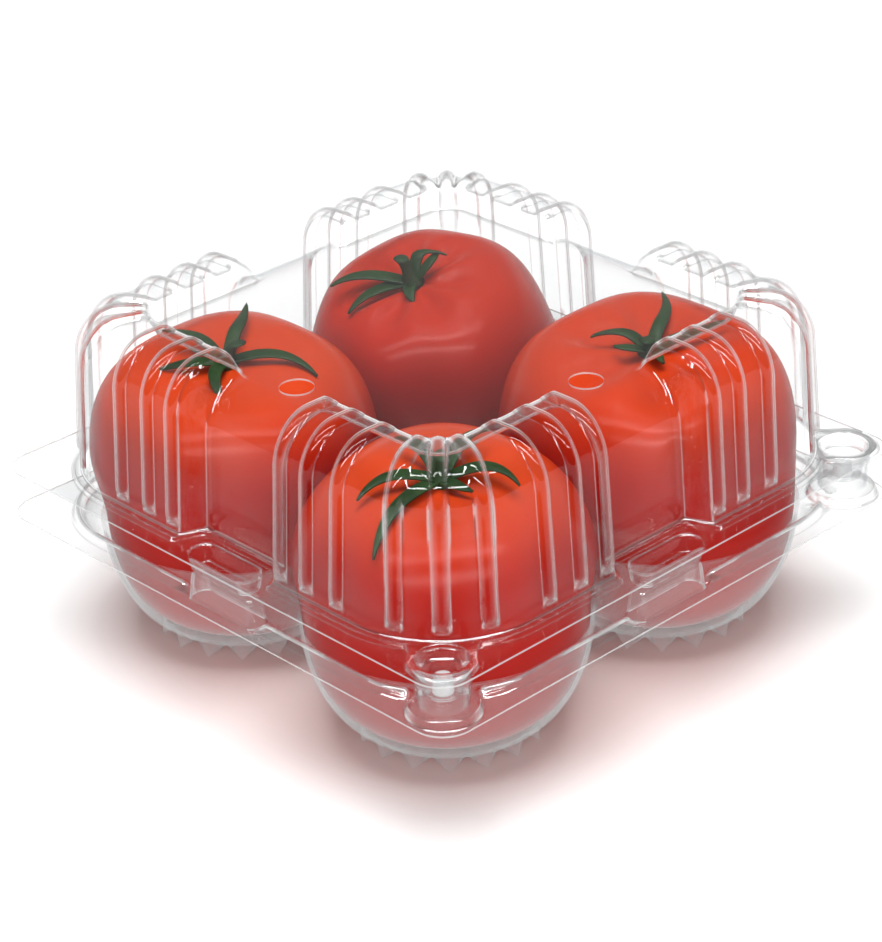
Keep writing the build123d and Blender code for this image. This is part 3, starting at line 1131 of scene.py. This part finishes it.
def build_tube(name, turn, elevation, distance, length, width, strength):
    """Long bright tube that only mirrors see, level and square on to the pack."""
    level_reach = math.cos(elevation)
    outward = Vector((math.cos(turn) * level_reach, math.sin(turn) * level_reach, math.sin(elevation)))
    along = Vector((-math.sin(turn), math.cos(turn), 0)) * (length / 2)
    across = outward.cross(along).normalized() * (width / 2)
    centre = outward * distance
    low_edge = [centre - along - across, centre + along - across]
    high_edge = [centre + along + across, centre - along + across]
    material, nodes, output = new_material(name)
    link(emission(nodes, strength).outputs[0], output.inputs["Surface"])
    tube = add_quad(name, [tuple(corner) for corner in low_edge + high_edge], material)
    tube.visible_camera = False
    tube.visible_diffuse = False
    tube.visible_transmission = False
    tube.visible_shadow = False


def background(nodes, colour, strength):
    """Even light from all round."""
    return new_node(nodes, "Background", {"Color": (*colour, 1), "Strength": strength})


def build_world():
    """White to the camera, a warm fill for the shadows, and for mirrors a dim room with a bright far
    horizon."""
    dim_room = 0.05
    world = bpy.data.worlds.new("studio")
    bpy.context.scene.world = world
    world.use_nodes = True
    nodes = world.node_tree.nodes
    nodes.clear()
    output = new_node(nodes, "OutputWorld")
    path = new_node(nodes, "LightPath")
    room = background(nodes, (1.0, 0.74, 0.69), strength=0.17)
    mirrored = background(nodes, (1, 1, 1), strength=1.0)
    seen = background(nodes, (1, 1, 1), strength=1.05)
    place = new_node(nodes, "TexCoord")
    split = new_node(nodes, "SeparateXYZ")
    link(place.outputs["Generated"], split.inputs[0])
    away = maths(nodes, "ADD", split.outputs["X"], split.outputs["Y"])
    far = map_range(nodes, away, low=-0.3, high=0.6, start=0.0, end=1.0)
    low = map_range(nodes, split.outputs["Z"], low=0.10, high=0.45, start=0.90, end=0.25)
    glow = maths(nodes, "MULTIPLY", far, low)
    link(maths(nodes, "ADD", glow, dim_room), mirrored.inputs["Strength"])
    unseen = mix_shaders(nodes, path.outputs["Is Glossy Ray"], room, mirrored)
    whole = mix_shaders(nodes, path.outputs["Is Camera Ray"], unseen, seen)
    link(whole.outputs[0], output.inputs["Surface"])


def add_softbox(name, place, size, power, colour):
    """Large lamp that mirrors don't see, aimed at the pack's middle."""
    target = Vector((0, 0, 0.05))
    light = bpy.data.lights.new(name, "AREA")
    light.shape = "SQUARE"
    light.size = size
    light.energy = power
    light.color = colour
    lamp = add_object(name, light)
    lamp.location = place
    lamp.rotation_euler = (target - Vector(place)).to_track_quat("-Z", "Y").to_euler()
    lamp.visible_glossy = False


def build_camera():
    """Camera at the photograph's view of the pack."""
    azimuth = math.radians(-43.22)
    elevation = math.radians(27.91)
    roll = math.radians(-2.05)
    target = Vector((-0.0111, -0.0088, 0.0533))
    distance = 0.8357
    level_reach = math.cos(elevation)
    back = Vector((math.sin(azimuth) * level_reach, -math.cos(azimuth) * level_reach, math.sin(elevation)))
    right = (-back).cross(Vector((0, 0, 1))).normalized()
    up = right.cross(-back)
    right_rolled = right * math.cos(roll) + up * math.sin(roll)
    up_rolled = up * math.cos(roll) - right * math.sin(roll)
    data = bpy.data.cameras.new("camera")
    data.lens = 114.68
    data.sensor_width = 36.0
    camera = add_object("camera", data)
    place = target + back * distance
    rotation = Matrix((right_rolled, up_rolled, back)).transposed().to_4x4()
    camera.matrix_world = Matrix.Translation(place) @ rotation
    bpy.context.scene.camera = camera


build_floor()
build_world()
add_softbox("top_softbox", (-0.05, -0.05, 1.1), size=0.75, power=15.2, colour=(0.94, 0.99, 1.0))
add_softbox("front_softbox", (-0.75, -0.80, 0.50), size=0.8, power=6.5, colour=(1.0, 0.99, 0.97))
front_turn = math.radians(227)
for tube_name, tube_elevation in (("low_tube", 40), ("high_tube", 68)):
    build_tube(
        tube_name, front_turn, math.radians(tube_elevation),
        distance=1.4, length=2.6, width=0.07, strength=22.0)
build_camera()
bpy.context.scene.view_settings.view_transform = "Standard"
bpy.context.scene.cycles.transparent_max_bounces = 48
